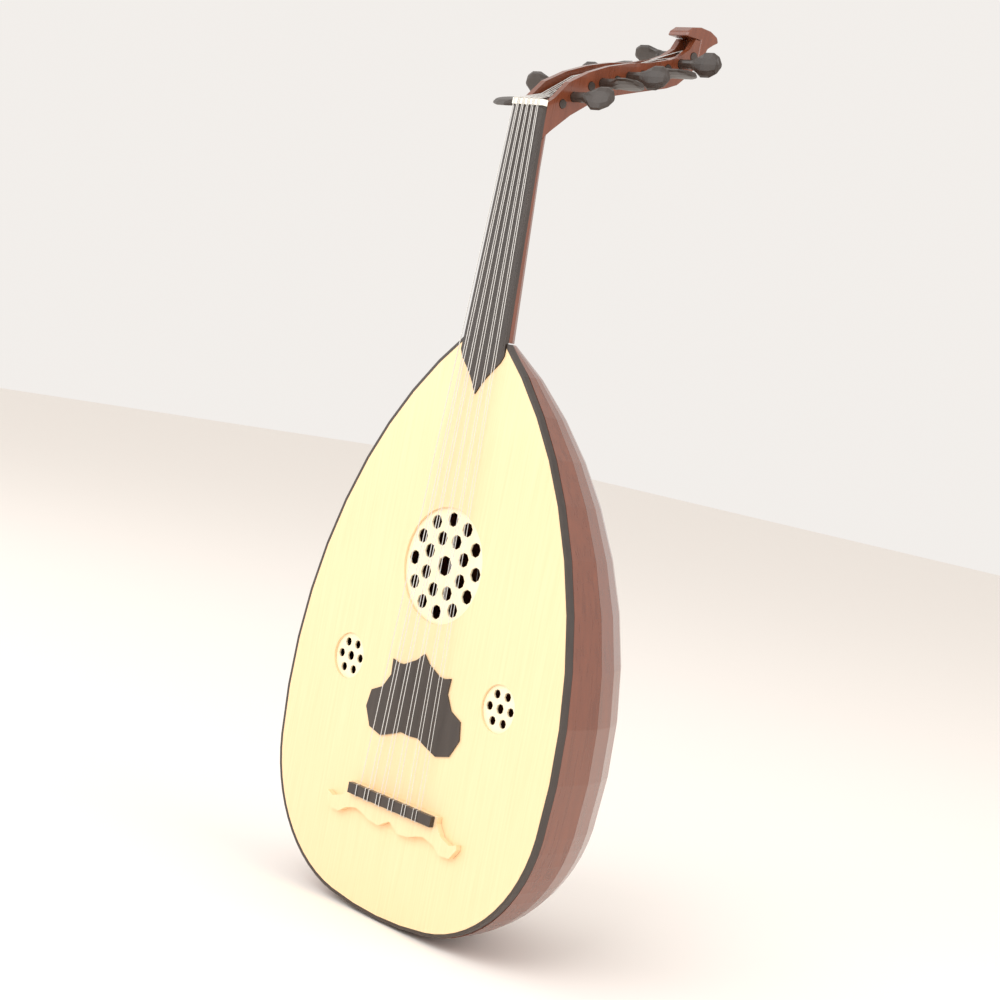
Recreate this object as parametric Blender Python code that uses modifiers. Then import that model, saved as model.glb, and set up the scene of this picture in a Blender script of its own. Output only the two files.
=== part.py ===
# Turkish oud: soundboard in the plane y = 0 facing -Y, neck along +Z, bowl towards +Y.
# The origin is the middle of the nut's front edge in the soundboard's face plane.
import bmesh
import bpy
from math import asin, cos, pi, radians, sin
from mathutils import Vector

mm = 0.001
gap = 0.3
boardTop = -195.0          # where neck and body meet
roseZ = -386.0             # large soundhole
smallRose = (98.1, -484.2)
roseHole = 49.0
smallHole = 19.8
boardThick = 2.0
bindingWide = 3.0
bindingDeep = 6.0
ribThick = 2.6
bowlDepth = 0.93           # depth of the bowl over its half-width
sideRib = 17.0             # degrees taken by each wide side rib
narrowRibs = 15
outlineStart = (0.0, -685.3)
outlineArcs = ((388.3, 9.3), (126.4, 73.4), (433.1, 35.08), (376.6, 23.7))
nutHalf = 18.4
neckHalfAtNut = 18.5
neckHalfAtBody = 26.3
neckDeepAtNut = 15.0
neckDeepAtBody = 21.0
fretFront = -1.2
scarfZ = -29.7             # scarf plane at y = 0
scarfSlope = 1.05
cheekThick = 6.0
cheekHalf = 18.6
cheekTaper = 6.6 / 160.0
shankAtHead = 4.2
shankTaper = 0.015
pegReach = 16.0
headLong = 30.0
headHalf = 10.8
barFront = -585.0
barBack = -594.0
barTop = -9.7
bridgeTop = -5.3
pegPlaces = ((-1, 18.7, 5.8), (1, 30.3, 14.1), (-1, 47.8, 27.0), (1, 60.3, 32.2), (-1, 76.9, 38.5),
             (1, 90.3, 44.5), (-1, 106.0, 49.5), (1, 120.3, 54.7), (-1, 135.0, 61.5),
             (1, 150.3, 69.2), (-1, 164.1, 78.7))
stringNut = (-15.8, -11.2, -9.4, -5.2, -3.4, 0.8, 2.6, 6.8, 8.6, 12.8, 14.6)
stringBridge = (-43.2, -31.3, -26.6, -15.4, -11.0, 1.1, 6.1, 18.6, 22.5, 32.7, 37.2)
stringPeg = (0, 10, 1, 8, 2, 9, 3, 7, 4, 6, 5)
stringRadius = (0.4, 0.4, 0.4, 0.38, 0.38, 0.36, 0.36, 0.33, 0.33, 0.3, 0.3)

for old in list(bpy.data.objects):
    bpy.data.objects.remove(old, do_unlink=True)
oud = bpy.data.collections.new("Turkish oud")
cutters = bpy.data.collections.new("Cutters")
cutters.hide_render = True
bpy.context.scene.collection.children.link(oud)
bpy.context.scene.collection.children.link(cutters)


def material(name, colour, rough):
    made = bpy.data.materials.get(name) or bpy.data.materials.new(name)
    made.use_nodes = True
    shader = made.node_tree.nodes["Principled BSDF"]
    shader.inputs["Base Color"].default_value = (*colour, 1)
    shader.inputs["Roughness"].default_value = rough
    return made


spruce = material("spruce", (0.95, 0.66, 0.35), 0.45)
mahogany = material("mahogany", (0.16, 0.03, 0.01), 0.25)
ebony = material("ebony", (0.03, 0.02, 0.015), 0.35)
cream = material("cream", (0.98, 0.86, 0.62), 0.5)
bone = material("bone", (0.9, 0.87, 0.78), 0.35)
nylon = material("nylon", (0.75, 0.74, 0.72), 0.3)


def loft(name, sections, finish, group=oud):
    """A closed solid through sections that have the same number of points."""
    bm = bmesh.new()
    rings = [[bm.verts.new([c * mm for c in point]) for point in ring] for ring in sections]
    count = len(rings[0])
    for near, far in zip(rings, rings[1:]):
        for i in range(count):
            j = (i + 1) % count
            bm.faces.new((near[i], near[j], far[j], far[i]))
    bm.faces.new(rings[0][::-1])
    bm.faces.new(rings[-1])
    bmesh.ops.recalc_face_normals(bm, faces=bm.faces)
    mesh = bpy.data.meshes.new(name)
    bm.to_mesh(mesh)
    bm.free()
    mesh.materials.append(finish)
    made = bpy.data.objects.new(name, mesh)
    group.objects.link(made)
    return made


def plate(name, outline, front, back, finish, group=oud):
    """A flat plate: its outline in x and z, between two values of y."""
    return loft(name, [[(x, y, z) for x, z in outline] for y in (front, back)], finish, group)


def mirrored(half):
    """The whole outline of a half that runs from the middle line back to it."""
    return half + [(-x, z) for x, z in half[::-1] if x > 0.01]


def cut(target, cutter):
    """Cuts one mesh from another; each cutter overlaps no other cutter of its target."""
    made = target.modifiers.new("Cut", "BOOLEAN")
    made.operation = "DIFFERENCE"
    made.solver = "EXACT"
    made.object = cutter
    cutter.display_type = "WIRE"


def outline(step):
    """Points of the soundboard's edge with outward normals, from the tail up the right side."""
    x, z = outlineStart
    turn = 0.0
    points = []
    for radius, sweep in outlineArcs:
        count = max(2, round(sweep / step))
        for i in range(count):
            at = turn + radians(sweep) * i / count
            points.append((x + radius * (sin(at) - sin(turn)), z + radius * (cos(turn) - cos(at)), at))
        end = turn + radians(sweep)
        x += radius * (sin(end) - sin(turn))
        z += radius * (cos(turn) - cos(end))
        turn = end
    points.append((x, z, turn))
    return [(x, z, sin(at), -cos(at)) for x, z, at in points]


edge = outline(5.5)


def rim(out):
    """The outline moved outwards, from the left neck corner round the tail to the right one."""
    right = [(x + nx * out, z + nz * out) for x, z, nx, nz in edge]
    left = [(-x, z) for x, z in right[:0:-1]]
    return left + right


def strip(name, inner, outer, front, back, finish):
    """A strip that follows the rim between two offsets from the soundboard's edge."""
    sections = [[(a[0], front, a[1]), (b[0], front, b[1]), (b[0], back, b[1]), (a[0], back, a[1])]
                for a, b in zip(rim(inner), rim(outer))]
    return loft(name, sections, finish)


tongue = [(27.5, boardTop + 8), (27.5, -206.0), (24.3, -212.0), (17.7, -218.8), (11.2, -225.3),
          (5.7, -232.3), (0, -241.4)]


def makeBody():
    board = plate("soundboard", rim(0), 0, boardThick, spruce)
    notch = plate("tongue_notch", [(-x, z) for x, z in tongue[:-1]] + tongue[::-1], -5, 9, ebony, cutters)
    cut(board, notch)
    binding = strip("edge_binding", gap, 3.0, 0, bindingDeep, ebony)
    cut(binding, notch)
    lining = strip("rim_lining", -6.0, 0, boardThick + gap, bindingDeep, spruce)
    cut(lining, notch)
    for name, x, z, radius in (("large", 0, roseZ, roseHole), ("left", -smallRose[0], smallRose[1], smallHole),
                               ("right", smallRose[0], smallRose[1], smallHole)):
        circle = [(x + radius * cos(2 * pi * i / 48), z + radius * sin(2 * pi * i / 48)) for i in range(48)]
        cut(board, plate("hole_" + name, circle, -3, 5, ebony, cutters))
        makeRose("rose_" + name, x, z, radius)


def makeRose(name, x, z, hole):
    out = hole + 3
    disc = [(x + out * cos(2 * pi * i / 32 + 0.05), z + out * sin(2 * pi * i / 32 + 0.05)) for i in range(32)]
    rose = plate(name, disc, boardThick + gap, boardThick + gap + 1.6, cream)
    large = ((0.8, 0.13, 12), (0.48, 0.13, 8), (0.0, 0.18, 1))
    small = ((0.64, 0.2, 6), (0.0, 0.22, 1))
    for row, (share, size, count) in enumerate(large if hole > 30 else small):
        for k in range(count):
            at = 2 * pi * (k + 0.5 * (row % 2)) / count
            cx = x + hole * share * cos(at)
            cz = z + hole * share * sin(at)
            ring = [(cx + hole * size * cos(pi * i / 4 + 0.2), cz + hole * size * sin(pi * i / 4 + 0.2)) for i in range(8)]
            cut(rose, plate(f"{name}_cut_{row}_{k}", ring, -2, 8, cream, cutters))


def makeRibs():
    step = (180 - 2 * sideRib) / narrowRibs
    seams = [0, sideRib] + [sideRib + step * (i + 1) for i in range(narrowRibs)] + [180]
    stations = [p for p in edge if p[0] > 28 or p[1] > -400]
    stations = [p for p in stations if p[1] < -200] + [(24.0, boardTop - 3.0, edge[-1][2], edge[-1][3])]
    for index, (first, last) in enumerate(zip(seams, seams[1:])):
        sections = []
        for x, z, nx, nz in stations:
            outer = x + 3.0
            inner = outer - ribThick * nx
            ring = []
            for wide, side, high in ((outer, 1, z + 3.0 * nz), (inner, -1, z + 3.0 * nz - ribThick * nz)):
                low = asin(min(1, (bindingDeep + gap) / (bowlDepth * wide)))
                slack = gap / 2 / (bowlDepth * wide)
                a = low if index == 0 else radians(first) + slack
                b = pi - low if index == len(seams) - 2 else radians(last) - slack
                pair = [(wide * cos(t), bowlDepth * wide * sin(t), high) for t in (a, b)]
                ring += pair[::side]
            sections.append(ring)
        loft(f"rib_{index + 1:02d}", sections, mahogany)


def halfRound(wide, deep, front, z, lean=0.0, count=12):
    points = [(wide * cos(pi * i / count), front + (deep - front) * sin(pi * i / count)) for i in range(count + 1)]
    return [(x, y, z + lean * y) for x, y in points]


def makeNeck():
    front = boardThick + gap
    low = boardTop + gap
    sections = [halfRound(neckHalfAtBody, neckDeepAtBody, front, low)]
    sections.append(halfRound(19.2, neckDeepAtNut + 0.6, front, -50))
    sections.append(halfRound(18.7, neckDeepAtNut, front, scarfZ - gap, scarfSlope))
    loft("neck", sections, mahogany)
    block = [halfRound(neckHalfAtBody - 7, neckDeepAtBody - 6, front + 4, z) for z in (low - gap * 2, low - 40)]
    loft("neck_block", block, spruce)
    board = [(nutHalf, -gap), (neckHalfAtBody, boardTop), (27.2, -206), (24, -212), (17.5, -218.5),
             (11, -225), (5.5, -232), (0, -241)]
    plate("fingerboard", [(-x, z) for x, z in board[:-1]] + board[::-1], fretFront, boardThick, ebony)
    loft("nut", [[(x, -4, 0), (x, 2, 0), (x, 2, 5), (x, -4, 5)] for x in (-nutHalf, nutHalf)], bone)
    wedge = ((2.3, -27.0), (17.4, -11.3), (2.3, 3.4))
    loft("pegbox_joint_block", [[(x, y, z) for y, z in wedge] for x in (-11.5, 11.5)], mahogany)
    tail = [(-22, -678), (22, -678), (22, -670), (-22, -670)]
    plate("tail_block", tail, boardThick + gap, 20, spruce)


frontEdge = ((2.3, 3.6), (9, 9), (22.4, 24.8), (43.1, 37.8), (65, 47.7), (88, 55.4), (111.9, 61.3),
             (135.6, 69.4), (147.1, 75.2), (157.9, 83.8), (162.8, 93.7))
backEdge = ((2.3, -27.0), (10.6, -18.4), (29.7, -1.4), (48.1, 11.4), (74.2, 24.5), (106.6, 35.3),
            (137.5, 45.3), (150, 51.0), (160, 60.0), (169.0, 70.0), (169.0, 93.7))


def wallX(y):
    return cheekHalf - cheekTaper * y


def pegSection(x, tall, flat, y, z, turn, count=12):
    ring = []
    for i in range(count):
        a = 2 * pi * i / count
        u = tall * cos(a)
        v = flat * sin(a)
        ring.append((x, y + u * cos(turn) - v * sin(turn), z + u * sin(turn) + v * cos(turn)))
    return ring


def makePegbox():
    bores = []
    for side in (-1, 1):
        shape = list(frontEdge) + list(backEdge[::-1])
        name = "cheek_left" if side < 0 else "cheek_right"
        cheek = loft(name, [[(side * (wallX(y) - t), y, z) for y, z in shape] for t in (0, cheekThick)], mahogany)
        for index, (head, y, z) in enumerate(pegPlaces):
            ends = [side * (wallX(y) + 1), side * (wallX(y) - cheekThick - 1)]
            rings = [pegSection(x, shankAt(head, x, y) + gap, shankAt(head, x, y) + gap, y, z, 0) for x in ends]
            cut(cheek, loft(f"bore_{name}_{index}", rings, ebony, cutters))
    inside = [(y, z) for y, z in backEdge[2:9]]
    sections = []
    for y, z in inside:
        half = wallX(y) - cheekThick - gap
        sections.append([(-half, y, z + 0.2), (half, y, z + 0.2), (half, y - 1.5, z + 4.5), (-half, y - 1.5, z + 4.5)])
    loft("pegbox_back", sections, mahogany)
    side = [(169.3, 70.0), (177, 80), (180, 89), (186, 93.6), (191.5, 97), (189, 101.5), (180, 104.8),
            (168, 105.3), (158, 103), (152.5, 98.5), (151, 94.3), (169.3, 94.3)]
    finial = loft("finial", [[(x, y, z) for y, z in side] for x in (-11.6, 11.6)], mahogany)
    soft = finial.modifiers.new("Soft edges", "BEVEL")
    soft.width = 1.2 * mm
    soft.segments = 2
    return bores


def shankAt(head, x, y):
    """Radius of the tapered shank, thinner away from the head."""
    return shankAtHead - shankTaper * (wallX(y) - head * x)


def makePegs():
    for index, (head, y, z) in enumerate(pegPlaces):
        start = wallX(y)
        turn = radians(25 + 47 * index)
        tip = -start - 0.8
        neck = start + pegReach
        stages = [(tip, None, None), (neck - 2, None, None), (neck, 5.2, 4.6), (neck + 3, 6.5, 3.6),
                  (neck + 10, headHalf, 3.0), (neck + 20, headHalf, 2.8), (neck + 27, 7.5, 2.6),
                  (neck + headLong, 3.0, 2.0)]
        rings = []
        for x, tall, flat in stages:
            tall = tall or shankAt(head, head * x, y)
            rings.append(pegSection(0, tall, flat or tall, 0, 0, turn))
            rings[-1] = [(head * x, b, c) for a, b, c in rings[-1]]
        peg = loft(f"peg_{index + 1:02d}", rings, ebony)
        peg.location = (0, y * mm, z * mm)


def makeBridge():
    half = [(0, -604.5), (5, -607), (13, -611.5), (26, -610.5), (36, -607), (45, -605), (58, -608), (68, -614),
            (80, -613), (87, -604), (86, -600), (78, -603), (66, -599), (58, -590), (58, -584.6), (0, -584.6)]
    plate("bridge", [(-x, z) for x, z in half[1:-1]][::1] + half[::-1], bridgeTop, -gap, spruce)
    plate("bridge_tie_bar", [(-55, barBack), (55, barBack), (55, barFront), (-55, barFront)], barTop,
          bridgeTop - gap, ebony)
    guard = [(0, -461), (8, -468), (23, -475), (30, -475.5), (38, -473.5), (37, -487), (45, -499), (58.5, -505),
             (61.5, -520), (52.5, -535.5), (36.5, -539.5), (20, -534), (11.5, -530.5), (0, -531.3)]
    plate("pickguard", [(-x, z) for x, z in guard[1:-1]] + guard[::-1], -gap - 1.0, -gap, ebony)


def makeStrings():
    for index, (nutX, barX, own, radius) in enumerate(zip(stringNut, stringBridge, stringPeg, stringRadius)):
        up = barTop - gap - radius
        front = barFront + gap + radius
        back = barBack - gap - radius
        low = bridgeTop - gap - radius
        points = [(barX, low, back), (barX, up, back), (barX, up, front), (barX, -6.4, front)]
        points += [(nutX, -4.3 - radius, -0.3), (nutX, -4.3 - radius, 5.3)]
        layer = 6.4 if own < 6 else 7.6
        for head, y, z in pegPlaces[:own]:
            lane = (wallX(y) - cheekThick - 2) / 16
            points.append((nutX * lane, y - 0.4 * layer, z + 0.917 * layer))
        head, y, z = pegPlaces[own]
        lane = (wallX(y) - cheekThick - 2.6) / 16
        x = nutX * lane
        round_ = shankAtHead + gap + radius
        inward = -1 if x > 0 else 1
        for k in range(19):
            a = radians(114) - 2 * pi * k / 10
            points.append((x + inward * 1.3 * k / 10, y + round_ * cos(a), z + round_ * sin(a)))
        curve = bpy.data.curves.new(f"string_{index + 1:02d}", "CURVE")
        curve.dimensions = "3D"
        curve.bevel_depth = radius * mm
        curve.bevel_resolution = 1
        curve.use_fill_caps = True
        spline = curve.splines.new("POLY")
        spline.points.add(len(points) - 1)
        for point, at in zip(spline.points, points):
            point.co = (*(Vector(at) * mm), 1)
        curve.materials.append(nylon)
        oud.objects.link(bpy.data.objects.new(curve.name, curve))


makeBody()
makeRibs()
makeNeck()
makePegbox()
makePegs()
makeBridge()
makeStrings()
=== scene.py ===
import bpy
from mathutils import Matrix, Vector


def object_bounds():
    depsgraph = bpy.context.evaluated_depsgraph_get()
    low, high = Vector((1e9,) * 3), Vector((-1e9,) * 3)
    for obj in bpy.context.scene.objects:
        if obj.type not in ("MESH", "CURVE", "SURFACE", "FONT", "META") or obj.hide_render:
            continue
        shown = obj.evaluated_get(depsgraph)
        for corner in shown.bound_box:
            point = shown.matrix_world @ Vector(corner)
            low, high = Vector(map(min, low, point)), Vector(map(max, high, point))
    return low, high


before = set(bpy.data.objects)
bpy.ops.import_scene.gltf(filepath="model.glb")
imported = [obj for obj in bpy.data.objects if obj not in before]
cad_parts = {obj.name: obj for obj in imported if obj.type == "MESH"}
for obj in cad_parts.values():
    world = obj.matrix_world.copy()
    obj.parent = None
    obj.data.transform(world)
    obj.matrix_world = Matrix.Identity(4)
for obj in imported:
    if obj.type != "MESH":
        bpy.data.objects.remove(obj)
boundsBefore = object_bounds()


# Wraps a shader socket, so that maths on it reads as an expression
class Socket:
    def __init__(self, tree, socket):
        self.tree = tree
        self.socket = socket

    # Any other node: its settings first, then the values or links of its sockets
    def node(self, kind, settings, sockets, output=0):
        made = self.tree.nodes.new(kind)
        for name, value in settings.items():
            setattr(made, name, value)
        for name, value in sockets.items():
            if isinstance(value, Socket):
                self.tree.links.new(value.socket, made.inputs[name])
            else:
                made.inputs[name].default_value = value
        return Socket(self.tree, made.outputs[output])

    def __mul__(self, other):
        return self.node("ShaderNodeMath", {"operation": "MULTIPLY"}, {0: self, 1: other})

    def __add__(self, other):
        return self.node("ShaderNodeMath", {"operation": "ADD"}, {0: self, 1: other})

    __rmul__ = __mul__
    __radd__ = __add__


# Each finish: its darkest and lightest colour, mean roughness, grain scale along x, y and z, and varnish
woods = {
    "spruce": {
        "dark": (0.88, 0.6, 0.32), "light": (0.98, 0.74, 0.46),
        "rough": 0.42, "grain": (420, 60, 12), "coat": 0.2,
    },
    "mahogany": {
        "dark": (0.1, 0.022, 0.008), "light": (0.23, 0.06, 0.022),
        "rough": 0.28, "grain": (160, 160, 14), "coat": 0.6,
    },
    "ebony": {
        "dark": (0.022, 0.015, 0.012), "light": (0.055, 0.04, 0.032),
        "rough": 0.36, "grain": (200, 200, 20), "coat": 0.1,
    },
    "cream_wood": {
        "dark": (0.9, 0.76, 0.5), "light": (0.99, 0.88, 0.66),
        "rough": 0.5, "grain": (90, 90, 90), "coat": 0.0,
    },
    "bone": {
        "dark": (0.88, 0.85, 0.74), "light": (0.96, 0.93, 0.85),
        "rough": 0.35, "grain": (120, 120, 60), "coat": 0.1,
    },
    "string": {
        "dark": (0.5, 0.49, 0.47), "light": (0.82, 0.8, 0.77),
        "rough": 0.25, "grain": (900, 900, 900), "coat": 0.0,
    },
}
grainNoise = {"Scale": 1.0, "Detail": 5.0, "Roughness": 0.55}
varnish = {
    "roughnessSpread": 0.15,   # how far the grain moves the roughness
    "roughnessBelow": 0.07,    # how far the lowest roughness lies under the mean
    "coatRoughness": 0.08,
}


def makeFinish(name, dark, light, rough, grain, coat):
    made = bpy.data.materials.new(name + "Finish")
    made.use_nodes = True
    tree = made.node_tree
    shader = tree.nodes["Principled BSDF"]
    place = Socket(tree, tree.nodes.new("ShaderNodeTexCoord").outputs["Object"])
    along = place.node("ShaderNodeMapping", {}, {"Vector": place, "Scale": grain})
    streaks = along.node("ShaderNodeTexNoise", {}, {"Vector": along, **grainNoise})
    blend = {0: streaks, 6: (*dark, 1), 7: (*light, 1)}    # factor, first and second colour
    colour = streaks.node("ShaderNodeMix", {"data_type": "RGBA"}, blend, 2)
    roughness = streaks * varnish["roughnessSpread"] + (rough - varnish["roughnessBelow"])
    tree.links.new(colour.socket, shader.inputs["Base Color"])
    tree.links.new(roughness.socket, shader.inputs["Roughness"])
    shader.inputs["Coat Weight"].default_value = coat
    shader.inputs["Coat Roughness"].default_value = varnish["coatRoughness"]
    return made


finishes = {name: makeFinish(name, **values) for name, values in woods.items()}
print("made", len(finishes), "finishes")

ebonyPieces = ("edge_binding", "fingerboard", "bridge_tie_bar", "pickguard")
finishOfStart = {
    "peg_": "ebony",
    "rose": "cream_wood",
    "string": "string",
    "nut": "bone",
    "rib_": "mahogany",
    "cheek": "mahogany",
    "pegbox": "mahogany",
    "finial": "mahogany",
}


# The finish that a node takes, told by its name
def finishOf(name):
    if name in ebonyPieces:
        return "ebony"
    if name == "neck":
        return "mahogany"
    for start, finish in finishOfStart.items():
        if name.startswith(start):
            return finish
    return "spruce"


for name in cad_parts:
    piece = bpy.data.objects[name]
    piece.data.materials.clear()
    piece.data.materials.append(finishes[finishOf(name)])
print("finished", len(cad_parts), "nodes")

floorValues = {
    "side": 14,
    "below": 0.002,            # under the lowest point of the oud
    "colour": (0.93, 0.88, 0.83),
    "roughness": 0.9,
}


def addFloor():
    level = boundsBefore[0][2] - floorValues["below"]
    bpy.ops.mesh.primitive_plane_add(size=floorValues["side"], location=(0, 0, level))
    floor = bpy.context.object
    floor.name = "floor"
    paint = bpy.data.materials.new("floorFinish")
    paint.use_nodes = True
    shader = paint.node_tree.nodes["Principled BSDF"]
    shader.inputs["Base Color"].default_value = (*floorValues["colour"], 1)
    shader.inputs["Roughness"].default_value = floorValues["roughness"]
    floor.data.materials.append(paint)


addFloor()
print("laid the floor")

studio = {
    "aim": (0, 0, -0.3),
    "key": dict(place=(0.6, -2.6, 1.8), size=2.5, power=60),
    "fill": dict(place=(-2.6, -1.4, 0.8), size=2.5, power=25),
    "side": dict(place=(2.6, 0.6, 0.6), size=2.0, power=30),
    "sky": (0.99, 0.955, 0.92),
    "skyStrength": 0.9,
}


def addLight(name, place, size, power):
    data = bpy.data.lights.new(name, "AREA")
    data.size = size
    data.energy = power
    light = bpy.data.objects.new(name, data)
    light.location = place
    light.rotation_euler = (Vector(studio["aim"]) - Vector(place)).to_track_quat("-Z", "Y").to_euler()
    bpy.context.scene.collection.objects.link(light)


def lightStudio():
    for name in ("key", "fill", "side"):
        addLight(name, **studio[name])
    world = bpy.context.scene.world or bpy.data.worlds.new("world")
    bpy.context.scene.world = world
    world.use_nodes = True
    background = world.node_tree.nodes["Background"]
    background.inputs["Color"].default_value = (*studio["sky"], 1)
    background.inputs["Strength"].default_value = studio["skyStrength"]


lightStudio()
print("lit the studio")

# The photograph's camera, solved from the soundholes; it stands in the part's own frame
photoCamera = {
    "lens": 81.08,
    "sensor": 36,
    "place": (1.3958, -1.2346, -0.2166),
    "right": (0.6571, 0.7300, 0.1880),
    "down": (0.1689, 0.1005, -0.9805),
    "forward": (-0.7346, 0.6760, -0.0572),
}


def addCamera():
    columns = (Vector(photoCamera["right"]), -Vector(photoCamera["down"]), -Vector(photoCamera["forward"]))
    data = bpy.data.cameras.new("photo camera")
    data.lens = photoCamera["lens"]
    data.sensor_width = photoCamera["sensor"]
    camera = bpy.data.objects.new("photo camera", data)
    camera.matrix_world = Matrix.Translation(photoCamera["place"]) @ Matrix(columns).transposed().to_4x4()
    bpy.context.scene.collection.objects.link(camera)
    bpy.context.scene.camera = camera


addCamera()
bpy.context.scene.view_settings.view_transform = "Standard"
print("set the camera")
